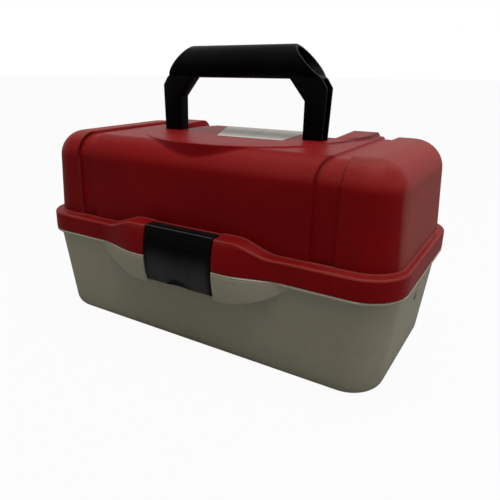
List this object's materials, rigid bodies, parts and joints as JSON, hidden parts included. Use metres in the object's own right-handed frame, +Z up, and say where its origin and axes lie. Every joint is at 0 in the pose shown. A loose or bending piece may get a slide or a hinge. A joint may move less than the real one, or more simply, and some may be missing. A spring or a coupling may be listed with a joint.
{
  "type": "portable tackle box",
  "caption": "Portable tackle box with a beige tub, domed red lid, black snap latch, folding carry handle and a cantilever tray that rises as the lid opens.",
  "frame": {"origin": "centre of the box's footprint, on the surface it stands on", "axes": "+X along the box to its right as seen from the latch side, +Y to the rear (hinge side), +Z up"},
  "size_m": [0.33, 0.1906, 0.243],
  "materials": {
    "lid_red": "satin, fine moulded grain",
    "tub_beige": "satin, fine moulded grain",
    "latch_black": "semi-gloss",
    "handle_black": "satin",
    "label_paper": "matt paper",
    "tray_grey": "satin",
    "divider_grey": "satin",
    "spacer_nylon": "satin nylon",
    "steel": "zinc plated",
    "arm_steel": "zinc plated, pressed"
  },
  "bodies": {
    "base": {"base_tub": "tub_beige", "hinge_pin_right": "steel", "hinge_pin_left": "steel", "tub_pivot_rivet_right": "steel", "tub_pivot_rivet_left": "steel", "arm_spacer_right": "spacer_nylon", "arm_spacer_left": "spacer_nylon"},
    "lid": {"lid_shell": "lid_red", "latch_pin": "steel", "blank_label": "label_paper", "handle_pin_right": "steel", "handle_pin_left": "steel", "lid_bracket_right": "arm_steel", "lid_bracket_left": "arm_steel", "bracket_rivets_right": "steel", "bracket_rivets_left": "steel"},
    "latch": {"latch": "latch_black"},
    "handle": {"handle": "handle_black"},
    "swing_arms": {"swing_arm_right": "arm_steel", "swing_arm_left": "arm_steel"},
    "tray": {"tray": "tray_grey", "tray_divider_1": "divider_grey", "tray_divider_2": "divider_grey", "tray_divider_3": "divider_grey", "tray_divider_4": "divider_grey", "tray_divider_5": "divider_grey", "tray_divider_6": "divider_grey", "tray_divider_7": "divider_grey", "tray_pivot_rivet_right": "steel", "tray_pivot_rivet_left": "steel", "tray_link_pin_right": "steel", "tray_link_pin_left": "steel"}
  },
  "joints": [
    {"name": "lid_hinge", "type": "hinge", "parent": "base", "child": "lid", "pos_m": [0, 0.0908, 0.0823], "axis": [-1, 0, 0], "range_deg": [0, 100]},
    {"name": "arm_swing", "type": "hinge", "parent": "base", "child": "swing_arms", "pos_m": [0, 0.004, 0.0575], "axis": [-1, 0, 0], "range_deg": [0, 100]},
    {"name": "tray_level", "type": "hinge", "parent": "swing_arms", "child": "tray", "pos_m": [0, -0.0535, 0.0705], "axis": [-1, 0, 0], "range_deg": [-100, 0]},
    {"name": "latch_pivot", "type": "hinge", "parent": "lid", "child": "latch", "pos_m": [0, -0.086, 0.1032], "axis": [-1, 0, 0], "range_deg": [0, 90]},
    {"name": "handle_fold", "type": "hinge", "parent": "lid", "child": "handle", "pos_m": [0, 0.001, 0.1665], "axis": [-1, 0, 0], "range_deg": [0, 74]}
  ],
  "couplings": [
    {"joint": "arm_swing", "follows": "lid_hinge", "ratio": 1},
    {"joint": "tray_level", "follows": "lid_hinge", "ratio": -1}
  ]
}
